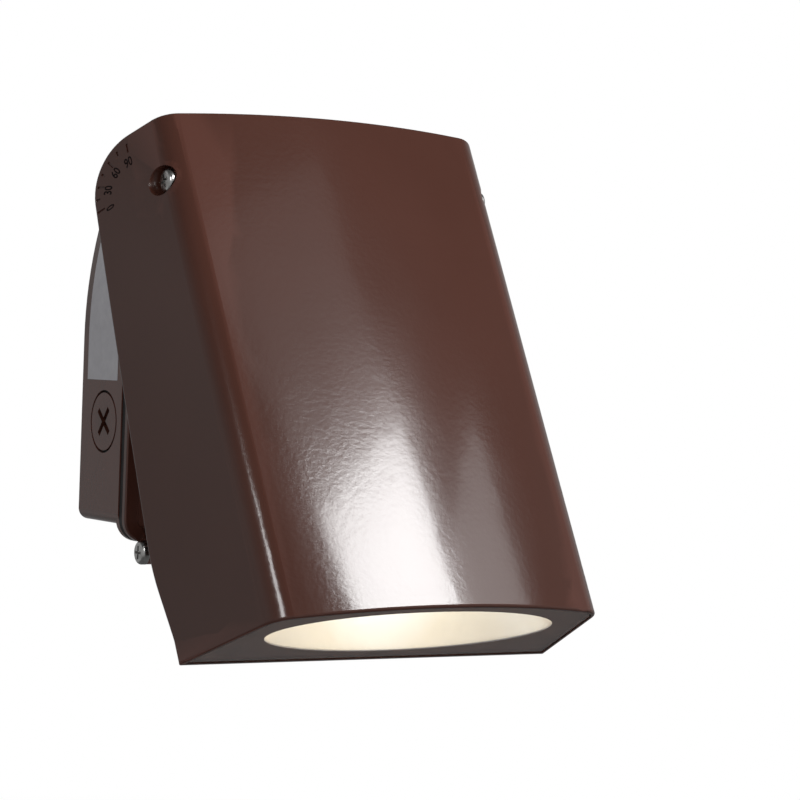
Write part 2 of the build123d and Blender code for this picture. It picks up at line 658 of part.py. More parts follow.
def head_block(inset):
    """Solid of all level sections, pulled in from the hood's outer face by the inset."""
    low = head_section(HEAD_BOTTOM - SECTION_MARGIN, inset)
    high = head_section(HEAD_TOP + SECTION_MARGIN, inset)
    return loft([low.faces()[0], high.faces()[0]], ruled=True)


def top_height(y):
    """Height of the hood's top edge at a depth: a straight line that leaves the dial arc."""
    rise = math.radians(TOP_RISE)
    return PIVOT_Z + (DIAL_RADIUS - (y - PIVOT_Y) * math.sin(rise)) / math.cos(rise)


def hood_profile():
    """Side view of the hood: stepped rear edge, dial arc round the pivot and rising top."""
    top_back = top_height(HEAD_BACK)
    points = [
        (-FAR, HEAD_BOTTOM),
        (HEAD_BACK_LOW, HEAD_BOTTOM),
        (HEAD_BACK_LOW + HEAD_BACK_LEAN, STEP_LOW),
        (HEAD_BACK, STEP_HIGH),
        (HEAD_BACK, top_back),
        (-FAR, top_height(-FAR)),
    ]
    rounds = [
        (HEAD_BACK_LOW + HEAD_BACK_LEAN, STEP_LOW, STEP_LOW_ROUND),
        (HEAD_BACK, STEP_HIGH, STEP_HIGH_ROUND),
        (HEAD_BACK, top_back, DIAL_RADIUS),
    ]
    return prism(points, rounds=rounds)


def dial_marks():
    """Radial marks from 0 to 90 degrees, long at each 30 and short between."""
    marks = []
    for degrees in range(0, DIAL_LAST + 1, DIAL_STEP):
        length = DIAL_LONG_MARK if degrees % (2 * DIAL_STEP) == 0 else DIAL_SHORT_MARK
        angle = DIAL_ZERO_ANGLE + degrees
        bar = Pos(0, DIAL_MARK_RADIUS - length / 2, 0) * Box(FAR, length, DIAL_MARK_WIDTH)
        centre = Pos(-FAR / 2, PIVOT_Y + DIAL_SHIFT_Y, PIVOT_Z + DIAL_SHIFT_Z)
        marks.append(centre * Rot(angle, 0, 0) * bar)
    return marks


def lead_pocket():
    """Slot in the right pivot boss, from the bolt's end down to the boss's rim."""
    start_x = HOOD_FACE_X + PIVOT_THREAD_LENGTH
    end_x = start_x + LEAD_TURN_GAP + LEAD_WAY_WIDTH / 2
    drop = PIVOT_BOSS_RADIUS + 1
    slot = Pos(0, -drop / 2) * Rectangle(LEAD_WAY_WIDTH, drop) + Circle(LEAD_WAY_WIDTH / 2)
    return Pos(0, PIVOT_Y, PIVOT_Z) * extrude(Plane.YZ.offset(start_x) * slot, end_x - start_x)


def hood_outside():
    """Outer form of the hood with its cheek, top and bottom edges rounded."""
    block = head_block(0) & hood_profile()
    curved = block.edges().filter_by(GeomType.BSPLINE)
    middles = [(edge, edge.center()) for edge in curved]
    rims = [edge for edge, middle in middles if abs(middle.Z - top_height(middle.Y)) < 0.05]
    rims += [edge for edge, middle in middles if abs(middle.Z - HEAD_BOTTOM) < 0.05]
    return fillet(rims, HOOD_EDGE)


def make_hood():
    outer = hood_outside()
    lip_y = FRONT_Y_TOP + TOP_LIP_WIDTH
    hollow = head_block(HOOD_WALL) & prism(
        [
            (-FAR, LENS_TOP),
            (RING_INNER_BACK, LENS_TOP),
            (RING_INNER_BACK, LOW_RING_TOP),
            (0, LOW_RING_TOP),
            (0, FAR),
            (lip_y, FAR),
            (lip_y, top_height(lip_y) - TOP_WALL),
            (-FAR, top_height(-FAR) - TOP_WALL),
        ]
    )
    rim_back = HEAD_BACK_LOW - RIM_WALL
    rebate = head_block(RIM_WALL) & prism(
        [(-FAR, -FAR), (rim_back, -FAR), (rim_back, MASK_TOP), (-FAR, MASK_TOP)]
    )
    for side in (-1, 1):
        pivot_boss = (side * HOOD_FACE_X, PIVOT_Y, PIVOT_Z)
        hollow -= rod(pivot_boss, (side, 0, 0), PIVOT_BOSS_RADIUS, FAR)
        lock_boss = (side * HOOD_FACE_X, LOCK_Y, LOCK_Z)
        hollow -= rod(lock_boss, (side, 0, 0), LOCK_BOSS_RADIUS, FAR)
        top_boss = (side * TOP_FIX_X, HOUSING_BACK - RAIL_THICKNESS, TOP_FIX_Z)
        hollow -= rod(top_boss, (0, -1, 0), TOP_BOSS_RADIUS, FAR)
    hood = outer - hollow - rebate
    for side in (-1, 1):
        recess = (side * LOCK_RECESS_FLOOR_X, LOCK_Y, LOCK_Z)
        hood -= rod(recess, (side, 0, 0), LOCK_RECESS_RADIUS, FAR)
        tap = (side * (HOOD_FACE_X - 1), LOCK_Y, LOCK_Z)
        hood -= rod(tap, (side, 0, 0), SCREW_RADIUS + THREAD_GAP, 20)
        pivot_tap = (side * HOOD_FACE_X, PIVOT_Y, PIVOT_Z)
        hood -= rod(pivot_tap, (side, 0, 0), PIVOT_THREAD_RADIUS + THREAD_GAP, PIVOT_THREAD_LENGTH + 1)
        top_tap = (side * TOP_FIX_X, HOUSING_BACK - RAIL_THICKNESS, TOP_FIX_Z)
        hood -= rod(top_tap, (0, -1, 0), SCREW_RADIUS + THREAD_GAP, HOUSING_SCREW_LENGTH)
        low_hole = (side * LOW_FIX_X, 0, LOW_FIX_Z)
        hood -= rod(low_hole, (0, -1, 0), SCREW_RADIUS + SCREW_CLEARANCE, 1 - RING_INNER_BACK)
        hood -= rod(low_hole, (0, -1, 0), SCREW_HEAD_RADIUS + SCREW_CLEARANCE, -HEAD_BACK_LOW)
    hood -= lead_pocket()
    skin = head_block(0) - head_block(DIAL_MARK_DEPTH)
    for mark in dial_marks():
        hood -= mark & skin
    return hood


def make_pivot_bolt():
    """Hollow shouldered bolt of the left pivot, its head inside the barrel."""
    inner_x = -(BARREL_HALF_LENGTH - BARREL_END_WALL) + FACE_GAP
    shoulder = inner_x + HOOD_FACE_X
    start = (inner_x, PIVOT_Y, PIVOT_Z)
    bolt = rod(start, (-1, 0, 0), PIVOT_BOLT_RADIUS, shoulder)
    bolt += rod(start, (-1, 0, 0), PIVOT_THREAD_RADIUS, shoulder + PIVOT_THREAD_LENGTH)
    head = rod(start, (1, 0, 0), PIVOT_HEAD_RADIUS, PIVOT_HEAD_HEIGHT)
    head = chamfer(head.edges().group_by(Axis.X)[-1], PIVOT_HEAD_EDGE)
    mouth = Plane(origin=(inner_x + PIVOT_HEAD_HEIGHT, PIVOT_Y, PIVOT_Z), z_dir=(-1, 0, 0))
    hexagon = RegularPolygon(PIVOT_HEX_SIZE / 2, 6, major_radius=False)
    head -= extrude(mouth * hexagon, PIVOT_HEAD_HEIGHT * 0.6)
    return bolt + head - rod((0, PIVOT_Y, PIVOT_Z), (-1, 0, 0), LEAD_BORE_RADIUS, FAR)


def make_pivot_washer():
    start = (-(BARREL_HALF_LENGTH + FACE_GAP), PIVOT_Y, PIVOT_Z)
    ring = rod(start, (-1, 0, 0), WASHER_RADIUS, WASHER_THICKNESS)
    return ring - rod(start, (-1, 0, 0), PIVOT_BOLT_RADIUS + THREAD_GAP, WASHER_THICKNESS)


def make_lock_screws():
    length = LOCK_RECESS_FLOOR_X - BARREL_HALF_LENGTH - LOCK_SCREW_GAP
    screw = pan_screw(SCREW_RADIUS, length, SCREW_HEAD_RADIUS, SCREW_HEAD_HEIGHT)
    return both_sides(set_screw_at(screw, (-LOCK_RECESS_FLOOR_X, LOCK_Y, LOCK_Z), (-1, 0, 0)))


def make_lamp_housing():
    inset = HOOD_WALL + HOUSING_GAP
    back_low = RING_INNER_BACK - HOUSING_GAP
    roof_top = ROOF_HEIGHT + ROOF_THICKNESS
    shell = head_block(inset) & prism(
        [
            (-FAR, HOUSING_BOTTOM),
            (back_low, HOUSING_BOTTOM),
            (back_low, LOW_RING_TOP + 2.0),
            (HOUSING_BACK, HOUSING_STEP_HIGH),
            (HOUSING_BACK, roof_top),
            (-FAR, roof_top),
        ]
    )
    hollow = head_block(inset + HOUSING_WALL) & prism(
        [
            (-FAR, -FAR),
            (back_low - HOUSING_WALL, -FAR),
            (back_low - HOUSING_WALL, LOW_RING_TOP),
            (HOUSING_BACK - HOUSING_WALL, HOUSING_STEP_HIGH - 2.0),
            (HOUSING_BACK - HOUSING_WALL, ROOF_HEIGHT),
            (-FAR, ROOF_HEIGHT),
        ]
    )
    for side in (-1, 1):
        boss = (side * LOW_FIX_X, back_low - 1.0, LOW_FIX_Z)
        hollow -= rod(boss, (0, -1, 0), LOW_BOSS_RADIUS, LOW_BOSS_LENGTH - 1.0)
    housing = shell - hollow
    fin_zone = head_block(FIN_INSET) & prism(
        [(-FAR, roof_top - 1), (HOUSING_BACK, roof_top - 1), (HOUSING_BACK, FIN_TOP), (-FAR, FIN_TOP)]
    )
    for index in range(FIN_COUNT):
        x = (index - (FIN_COUNT - 1) / 2) * FIN_PITCH
        housing += fin_zone & Pos(x, 0, 0) * Box(FIN_THICKNESS, 2 * FAR, 2 * FAR)
    rail_face = RectangleRounded(2 * RAIL_HALF_LENGTH, RAIL_HIGH - RAIL_LOW, RAIL_CORNER)
    rail_middle = (RAIL_LOW + RAIL_HIGH) / 2
    housing += slab(Pos(0, rail_middle) * rail_face, HOUSING_BACK, HOUSING_BACK - RAIL_THICKNESS)
    for side in (-1, 1):
        top_hole = (side * TOP_FIX_X, HOUSING_BACK, TOP_FIX_Z)
        housing -= rod(top_hole, (0, -1, 0), SCREW_RADIUS + SCREW_CLEARANCE, RAIL_THICKNESS)
        housing -= rod(top_hole, (0, -1, 0), SCREW_HEAD_RADIUS + SCREW_CLEARANCE, RAIL_SINK)
        low_tap = (side * LOW_FIX_X, back_low + 1, LOW_FIX_Z)
        housing -= rod(low_tap, (0, -1, 0), SCREW_RADIUS + THREAD_GAP, LOW_BOSS_LENGTH)
        for row in (-1, 1):
            board_tap = (side * BOARD_FIX_X, BOARD_Y + row * BOARD_FIX_Y, ROOF_HEIGHT - 1)
            housing -= rod(board_tap, (0, 0, 1), BOARD_SCREW_RADIUS + THREAD_GAP, BOARD_TAP_DEPTH + 1)
    gland = (HEAD_GROMMET_X, BOARD_Y, ROOF_HEIGHT - 1)
    housing -= rod(gland, (0, 0, 1), GROMMET_RADIUS, ROOF_THICKNESS + 2)
    return housing


def make_housing_screws():
    """Two screws through the rail into the hood's front bosses, two through the ring into the housing."""
    screw = pan_screw(SCREW_RADIUS, HOUSING_SCREW_LENGTH, SCREW_HEAD_RADIUS, SCREW_HEAD_HEIGHT)
    top_seat = HOUSING_BACK - RAIL_SINK
    top = both_sides(set_screw_at(screw, (-TOP_FIX_X, top_seat, TOP_FIX_Z), (0, 1, 0)))
    low = both_sides(set_screw_at(screw, (-LOW_FIX_X, HEAD_BACK_LOW, LOW_FIX_Z), (0, 1, 0)))
    return Compound([*top.solids(), *low.solids()])


def board_plate(thickness, top):
    outline = RectangleRounded(BOARD_LENGTH, BOARD_WIDTH, BOARD_CORNER)
    plate = extrude(Pos(0, BOARD_Y, top) * outline, -thickness)
    hole_radius = BOARD_SCREW_RADIUS + BOARD_SCREW_GAP
    for x in (-BOARD_FIX_X, BOARD_FIX_X):
        for y in (-BOARD_FIX_Y, BOARD_FIX_Y):
            plate -= rod((x, BOARD_Y + y, top + 1), (0, 0, -1), hole_radius, thickness + 2)
    return plate


def make_board_screws():
    screw = pan_screw(BOARD_SCREW_RADIUS, BOARD_SCREW_LENGTH, BOARD_SCREW_HEAD, BOARD_SCREW_HEIGHT)
    spots = [(x, BOARD_Y + y) for x in (-BOARD_FIX_X, BOARD_FIX_X) for y in (-BOARD_FIX_Y, BOARD_FIX_Y)]
    return Compound([set_screw_at(screw, (x, y, BOARD_BOTTOM), (0, 0, -1)) for x, y in spots])


def make_leds():
    packages = []
    for column in range(LED_COLUMNS):
        for row in range(LED_ROWS):
            x = (column - (LED_COLUMNS - 1) / 2) * LED_PITCH_X
            y = BOARD_Y + (row - (LED_ROWS - 1) / 2) * LED_PITCH_Y
            packages.append(Pos(x, y, BOARD_BOTTOM - LED_HEIGHT / 2) * Box(LED_SIZE, LED_SIZE, LED_HEIGHT))
    return Compound(packages)


def make_board_connector():
    block = Box(CONNECTOR_LENGTH, CONNECTOR_WIDTH, CONNECTOR_HEIGHT)
    block = fillet(block.edges().filter_by(Axis.Z), CONNECTOR_CORNER)
    return Pos(CONNECTOR_X, BOARD_Y, BOARD_BOTTOM - CONNECTOR_HEIGHT / 2) * block


def reflector_solid(grow):
    """Bowl between the board and the window, grown outward by the given amount."""
    top_z = BOARD_BOTTOM - REFLECTOR_GAP
    low_z = MASK_TOP + REFLECTOR_GAP
    middle_x = at_share(REFLECTOR_MID_SHARE, REFLECTOR_TOP_X, WINDOW_HALF_X)
    middle_y = at_share(REFLECTOR_MID_SHARE, REFLECTOR_TOP_Y, WINDOW_HALF_Y)
    centre = (BOARD_Y + WINDOW_Y) / 2
    levels = [
        (low_z, WINDOW_Y, WINDOW_HALF_X, WINDOW_HALF_Y),
        ((top_z + low_z) / 2, centre, middle_x, middle_y),
        (top_z, BOARD_Y, REFLECTOR_TOP_X, REFLECTOR_TOP_Y),
    ]
    return loft([Pos(0, y, z) * Ellipse(half_x + grow, half_y + grow) for z, y, half_x, half_y in levels])


def make_reflector():
    return reflector_solid(REFLECTOR_WALL) - reflector_solid(0)


def pane_block(inset, low, high):
    back = HEAD_BACK_LOW - LENS_BACK_GAP - (inset - LENS_GAP)
    return head_block(inset) & prism([(-FAR, low), (back, low), (back, high), (-FAR, high)])


def make_lens():
    return pane_block(RIM_WALL + LENS_GAP, LENS_BOTTOM, LENS_TOP)


def make_lens_mask():
    border = pane_block(RIM_WALL + LENS_GAP, LENS_TOP, MASK_TOP)
    window = Pos(0, WINDOW_Y, LENS_TOP - 1) * Ellipse(WINDOW_HALF_X, WINDOW_HALF_Y)
    return border - extrude(window, MASK_THICKNESS + 2)


def make_lens_gasket():
    ring = pane_block(HOOD_WALL + HOUSING_GAP, MASK_TOP, HOUSING_BOTTOM)
    return ring - pane_block(HOOD_WALL + HOUSING_GAP + LENS_GASKET_WIDTH, MASK_TOP - 1, HOUSING_BOTTOM + 1)


def make_head_grommet():
    return Pos(HEAD_GROMMET_X, BOARD_Y, ROOF_HEIGHT) * make_grommet(ROOF_THICKNESS)


def make_head_lead():
    """Lead from the pivot axis through the hollow right bolt, down past the fins to the board."""
    turn_x = HOOD_FACE_X + PIVOT_THREAD_LENGTH + LEAD_TURN_GAP
    level = BOARD_BOTTOM - CONNECTOR_HEIGHT / 2
    points = [
        (0, PIVOT_Y, PIVOT_Z),
        (turn_x, PIVOT_Y, PIVOT_Z),
        (turn_x, PIVOT_Y, PIVOT_Z - 24),
        (HEAD_GROMMET_X, BOARD_Y, PIVOT_Z - 48),
        (HEAD_GROMMET_X, BOARD_Y, level),
        (CONNECTOR_X + CONNECTOR_LENGTH / 2, BOARD_Y, level),
    ]
    return lead_along(points, [LEAD_TURN_GAP, 20.0, 20.0, 4.0], LEAD_RADIUS)


def tilted(shape):
    """The shape turned about the pivot from its 0 degree position to the rest tilt."""
    return Pos(0, PIVOT_Y, PIVOT_Z) * Rot(-REST_TILT, 0, 0) * Pos(0, -PIVOT_Y, -PIVOT_Z) * shape


def wall_pieces():
    return {
        "back_box": make_back_box(),
        "conduit_plugs": both_sides(make_conduit_plug()),
        "plug_orings": both_sides(make_plug_oring()),
        "box_gasket": make_box_gasket(),
        "cover": make_cover(),
        "cover_screws": make_cover_screws(),
        "side_label": make_side_label(),
        "ground_screw": make_ground_screw(),
        "driver": make_driver(),
        "driver_screws": make_driver_screws(),
        "driver_lead": make_driver_lead(),
        "supply_leads": make_supply_leads(),
    }


def head_pieces():
    return {
        "hood": make_hood(),
        "pivot_bolts": both_sides(make_pivot_bolt()),
        "pivot_washers": both_sides(make_pivot_washer()),
        "lock_screws": make_lock_screws(),
        "lamp_housing": make_lamp_housing(),
        "housing_screws": make_housing_screws(),
        "thermal_pad": board_plate(PAD_THICKNESS, ROOF_HEIGHT),
        "led_board": board_plate(BOARD_THICKNESS, BOARD_TOP),
        "leds": make_leds(),
        "board_screws": make_board_screws(),
        "board_connector": make_board_connector(),
        "reflector": make_reflector(),
        "lens_gasket": make_lens_gasket(),
        "lens_mask": make_lens_mask(),
        "lens": make_lens(),
        "head_grommet": make_head_grommet(),
        "head_lead": make_head_lead(),
    }


os.makedirs("parts", exist_ok=True)
for node, piece in wall_pieces().items():
    export_step(piece, f"parts/{node}.step")
for node, piece in head_pieces().items():
    export_step(tilted(piece), f"parts/{node}.step")
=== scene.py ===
import math

import bmesh
import bpy
from mathutils import Matrix, Vector
from mathutils.bvhtree import BVHTree


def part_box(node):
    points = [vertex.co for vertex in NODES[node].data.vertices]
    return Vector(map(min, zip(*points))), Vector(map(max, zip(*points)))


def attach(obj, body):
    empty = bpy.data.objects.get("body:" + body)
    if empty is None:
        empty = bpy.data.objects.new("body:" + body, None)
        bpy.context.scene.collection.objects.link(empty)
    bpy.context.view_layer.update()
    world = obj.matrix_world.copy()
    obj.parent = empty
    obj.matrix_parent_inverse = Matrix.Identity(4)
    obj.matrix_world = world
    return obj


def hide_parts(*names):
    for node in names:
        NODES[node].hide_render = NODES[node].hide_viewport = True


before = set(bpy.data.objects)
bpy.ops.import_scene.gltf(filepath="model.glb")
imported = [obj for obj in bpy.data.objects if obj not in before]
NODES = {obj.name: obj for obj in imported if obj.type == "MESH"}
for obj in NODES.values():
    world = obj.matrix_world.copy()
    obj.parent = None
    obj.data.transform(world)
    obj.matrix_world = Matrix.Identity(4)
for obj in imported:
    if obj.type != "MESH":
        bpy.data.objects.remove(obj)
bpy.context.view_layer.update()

# Looks of the wall pack light. Metres, in the frame of the solids: +X right, -Y out of the wall, +Z up.

MM = 0.001

# ---- camera, fitted to the photograph's outlines ----
CAMERA_AT = Vector((-0.417526, -0.820427, 0.021723))
CAMERA_YAW = 30.6458
CAMERA_PITCH = -0.7252
CAMERA_ROLL = 1.9881
CAMERA_LENS = 116.41
SENSOR_WIDTH = 36.0

# ---- tilt dial, in the head's 0 degree position ----
PIVOT = Vector((0.0, -0.054, 0.078))
REST_TILT = math.radians(22.2)
DIAL_CENTRE = Vector((0.0, -0.0532, 0.0769))
DIAL_ZERO = math.radians(-6.0)
DIAL_TURN = math.radians(-4.0)        # of each numeral from its own mark
NUMERAL_RADIUS = {0: 11.3 * MM, 30: 11.8 * MM, 60: 11.2 * MM, 90: 10.2 * MM}
NUMERAL_SIZE = 4.7 * MM
NUMERAL_NARROWING = 0.68              # the digits are condensed
NUMERAL_BOLDNESS = 0.09 * MM
NUMERAL_DEPTH = 0.12 * MM
NUMERAL_PROUD = 0.03 * MM
DIAL_SIDE_X = -0.09                   # numerals are projected onto the cheek from here

# ---- light window ----
PRINT_IN_GLASS = 0.04 * MM            # the print lies this far into the glass, so that no faces coincide
GLOW_REACH = (0.050, 0.075, 0.075)    # from the light sources to where the reflector is dimmest
# The reflector's glow is painted light, standing in for the board's light falling on it.
REFLECTOR_GLOW = 1.15
SOURCE_GLOW = 3.5

# ---- studio ----
FLOOR_Z = -0.26
FLOOR_HALF = 4.0
FLOOR_NEAR = 0.35                     # the floor starts to fade to white here
FLOOR_FAR = 0.75
FLOOR_LIFT = 0.6                      # share of white in the floor near the object; the rest takes its shadow
# Brightness in reflections, dimmer than the white that the camera sees. The world's three also go for
# what is seen through the glass.
FLOOR_MIRRORED = 0.12                 # the floor near the object
HORIZON_MIRRORED = 0.32               # also the floor further out
ABOVE_HORIZON_MIRRORED = 0.44
OVERHEAD_MIRRORED = 0.08
# Brightness of the world as it lights the object.
HORIZON_LIGHT = 0.20
OVERHEAD_LIGHT = 0.14
AIM = Vector((0.0, -0.085, 0.01))
# Name, place, width, height and watts of each soft light; all face AIM.
LIGHTS = (
    ("key", (0.148, -0.422, 0.336), 0.240, 0.122, 2.0),
    ("key_veil", (0.113, -0.339, 0.436), 0.24, 0.14, 0.065),
    ("key_wing", (0.350, -0.377, 0.305), 0.21, 0.12, 0.24),
    ("corner", (-0.385, -0.375, 0.255), 0.09, 0.15, 0.55),
)


# ======== node material helpers ========

def new_material(name):
    """Material with an empty tree, its output and a principled shader."""
    mat = bpy.data.materials.new(name)
    mat.use_nodes = True
    tree = mat.node_tree
    tree.nodes.clear()
    out = tree.nodes.new("ShaderNodeOutputMaterial")
    shader = tree.nodes.new("ShaderNodeBsdfPrincipled")
    tree.links.new(shader.outputs["BSDF"], out.inputs["Surface"])
    return mat, tree, shader


def place(tree, scale=(1.0, 1.0, 1.0)):
    """Object coordinates, stretched by the scale."""
    coords = tree.nodes.new("ShaderNodeTexCoord")
    mapping = tree.nodes.new("ShaderNodeMapping")
    mapping.inputs["Scale"].default_value = scale
    tree.links.new(coords.outputs["Object"], mapping.inputs["Vector"])
    return mapping.outputs["Vector"]


def noise(tree, vector, scale, detail=3.0, roughness=0.5):
    node = tree.nodes.new("ShaderNodeTexNoise")
    node.inputs["Scale"].default_value = scale
    node.inputs["Detail"].default_value = detail
    node.inputs["Roughness"].default_value = roughness
    tree.links.new(vector, node.inputs["Vector"])
    return node.outputs["Fac"]


def cells(tree, vector, scale):
    node = tree.nodes.new("ShaderNodeTexVoronoi")
    node.inputs["Scale"].default_value = scale
    tree.links.new(vector, node.inputs["Vector"])
    return node.outputs["Distance"]


def ramp(tree, value, stops):
    """Colour ramp through (position, colour) stops."""
    node = tree.nodes.new("ShaderNodeValToRGB")
    elements = node.color_ramp.elements
    while len(elements) < len(stops):
        elements.new(0.5)
    for element, (position, colour) in zip(elements, stops):
        element.position = position
        element.color = (*colour, 1.0)
    tree.links.new(value, node.inputs["Fac"])
    return node.outputs["Color"]


def remap(tree, value, low, high, to_low, to_high):
    node = tree.nodes.new("ShaderNodeMapRange")
    for socket, number in zip(("From Min", "From Max", "To Min", "To Max"), (low, high, to_low, to_high)):
        node.inputs[socket].default_value = number
    tree.links.new(value, node.inputs["Value"])
    return node.outputs["Result"]


def math_node(tree, operation, first, second):
    node = tree.nodes.new("ShaderNodeMath")
    node.operation = operation
    for index, value in enumerate((first, second)):
        if isinstance(value, (int, float)):
            node.inputs[index].default_value = value
        else:
            tree.links.new(value, node.inputs[index])
    return node.outputs["Value"]


def blend_colours(tree, factor, first, second):
    """Mix of two colours, each a socket or an (r, g, b)."""
    node = tree.nodes.new("ShaderNodeMix")
    node.data_type = "RGBA"
    tree.links.new(factor, node.inputs[0])
    for index, value in ((6, first), (7, second)):
        if isinstance(value, tuple):
            node.inputs[index].default_value = (*value, 1.0)
        else:
            tree.links.new(value, node.inputs[index])
    return node.outputs[2]


def add_bump(tree, shader, height, strength, distance, under=None):
    node = tree.nodes.new("ShaderNodeBump")
    node.inputs["Strength"].default_value = strength
    node.inputs["Distance"].default_value = distance
    tree.links.new(height, node.inputs["Height"])
    if under is not None:
        tree.links.new(under, node.inputs["Normal"])
    tree.links.new(node.outputs["Normal"], shader.inputs["Normal"])
    return node.outputs["Normal"]


# ======== materials ========

def bronze_coat():
    """Gloss powder coat: orange peel, faint smudges and a lighter, redder tone on its thin edges, partly wear
    and partly painted highlight.
    """
    mat, tree, shader = new_material("bronze_coat")
    plain = place(tree)
    clouds = noise(tree, plain, 18.0, 4.0)
    base = ramp(tree, clouds, [
        (0.0, (0.060, 0.0210, 0.0138)),
        (1.0, (0.079, 0.0288, 0.0200)),
    ])
    geometry = tree.nodes.new("ShaderNodeNewGeometry")
    # Painted highlight, partly also wear: the thin edges are blended towards a lighter red-brown.
    edge_highlight_and_wear = remap(tree, geometry.outputs["Pointiness"], 0.52, 0.62, 0.0, 0.5)
    tree.links.new(blend_colours(tree, edge_highlight_and_wear, base, (0.16, 0.06, 0.045)), shader.inputs["Base Color"])
    smudge = noise(tree, place(tree, (1.0, 1.0, 0.45)), 14.0, 3.0, 0.5)
    tree.links.new(remap(tree, smudge, 0.0, 1.0, 0.14, 0.25), shader.inputs["Roughness"])
    shader.inputs["Specular IOR Level"].default_value = 0.42
    shader.inputs["Coat Weight"].default_value = 0.25
    shader.inputs["Coat Roughness"].default_value = 0.08
    peel = add_bump(tree, shader, noise(tree, plain, 620.0, 2.0), 0.12, 0.0003)
    add_bump(tree, shader, noise(tree, plain, 95.0, 2.0), 0.006, 0.002, under=peel)
    return mat


def mark_coat():
    """Dull, dark numerals of the dial: painted shade, standing in for the shade inside the engraved digits.
    """
    mat, tree, shader = new_material("mark_coat")
    base = ramp(tree, noise(tree, place(tree), 900.0, 2.0), [
        (0.3, (0.008, 0.005, 0.0045)),
        (0.7, (0.014, 0.008, 0.007)),
    ])
    tree.links.new(base, shader.inputs["Base Color"])
    shader.inputs["Roughness"].default_value = 0.7
    shader.inputs["Specular IOR Level"].default_value = 0.06
    return mat


def bright_steel():
    """Zinc-plated steel with fine turning marks and a patchy plate."""
    mat, tree, shader = new_material("bright_steel")
    plain = place(tree)
    base = ramp(tree, noise(tree, plain, 420.0, 4.0), [
        (0.3, (0.42, 0.41, 0.40)),
        (0.7, (0.70, 0.70, 0.69)),
    ])
    tree.links.new(base, shader.inputs["Base Color"])
    shader.inputs["Metallic"].default_value = 1.0
    rough = remap(tree, noise(tree, plain, 900.0, 3.0), 0.3, 0.7, 0.16, 0.36)
    tree.links.new(rough, shader.inputs["Roughness"])
    add_bump(tree, shader, noise(tree, place(tree, (0.15, 1.0, 1.0)), 2600.0, 2.0), 0.25, 0.0001)
    return mat


def black_rubber():
    mat, tree, shader = new_material("black_rubber")
    plain = place(tree)
    base = ramp(tree, noise(tree, plain, 300.0, 4.0), [
        (0.3, (0.010, 0.009, 0.009)),
        (0.7, (0.020, 0.018, 0.018)),
    ])
    tree.links.new(base, shader.inputs["Base Color"])
    tree.links.new(remap(tree, noise(tree, plain, 140.0), 0.3, 0.7, 0.55, 0.75), shader.inputs["Roughness"])
    add_bump(tree, shader, noise(tree, plain, 1600.0, 3.0), 0.3, 0.0001)
    return mat


def label_film():
    """Blank silver-grey film with a faint fibre."""
    mat, tree, shader = new_material("label_film")
    plain = place(tree)
    base = ramp(tree, noise(tree, plain, 240.0, 6.0, 0.6), [
        (0.25, (0.52, 0.51, 0.54)),
        (0.75, (0.62, 0.61, 0.64)),
    ])
    tree.links.new(base, shader.inputs["Base Color"])
    shader.inputs["Metallic"].default_value = 0.6
    tree.links.new(remap(tree, noise(tree, plain, 60.0), 0.3, 0.7, 0.34, 0.46), shader.inputs["Roughness"])
    add_bump(tree, shader, noise(tree, plain, 1900.0, 3.0), 0.12, 0.0001)
    return mat


def moulded(name, dark, light, low_rough, high_rough, grain):
    """Moulded or cast surface whose tone and roughness vary over a fine grain."""
    mat, tree, shader = new_material(name)
    plain = place(tree)
    base = ramp(tree, noise(tree, plain, grain * 0.2, 4.0), [(0.3, dark), (0.7, light)])
    tree.links.new(base, shader.inputs["Base Color"])
    rough = remap(tree, noise(tree, plain, grain * 0.5), 0.3, 0.7, low_rough, high_rough)
    tree.links.new(rough, shader.inputs["Roughness"])
    add_bump(tree, shader, noise(tree, plain, grain, 3.0), 0.2, 0.0001)
    return mat, shader


def reflector_metal():
    """Satin reflector with a painted glow in place of the board's light on it: warm and brightest round the
    light sources.
    """
    mat, shader = moulded("reflector_metal", (0.86, 0.83, 0.76), (0.93, 0.91, 0.86), 0.28, 0.40, 900.0)
    shader.inputs["Metallic"].default_value = 0.85
    tree = mat.node_tree
    low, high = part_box("leds")
    centre = (low + high) / 2
    coords = tree.nodes.new("ShaderNodeTexCoord")
    mapping = tree.nodes.new("ShaderNodeMapping")
    mapping.vector_type = "TEXTURE"
    mapping.inputs["Location"].default_value = centre
    mapping.inputs["Scale"].default_value = GLOW_REACH
    tree.links.new(coords.outputs["Object"], mapping.inputs["Vector"])
    distance = tree.nodes.new("ShaderNodeVectorMath")
    distance.operation = "LENGTH"
    tree.links.new(mapping.outputs["Vector"], distance.inputs[0])
    # Painted light: this emission ramp stands in for the board's light on the reflector.
    glow = ramp(tree, distance.outputs["Value"], [
        (0.35, (1.0, 0.99, 0.97)),
        (0.62, (0.60, 0.48, 0.32)),
        (1.0, (0.26, 0.18, 0.10)),
    ])
    tree.links.new(glow, shader.inputs["Emission Color"])
    shader.inputs["Emission Strength"].default_value = REFLECTOR_GLOW
    return mat


def led_phosphor():
    """Lit phosphor: near white, with the packages' yellow at their rims."""
    mat, tree, shader = new_material("led_phosphor")
    spots = cells(tree, place(tree), 330.0)
    lit = ramp(tree, spots, [(0.1, (1.0, 0.95, 0.82)), (0.8, (1.0, 0.86, 0.55))])
    tree.links.new(lit, shader.inputs["Base Color"])
    tree.links.new(lit, shader.inputs["Emission Color"])
    shader.inputs["Emission Strength"].default_value = SOURCE_GLOW
    shader.inputs["Roughness"].default_value = 0.4
    return mat


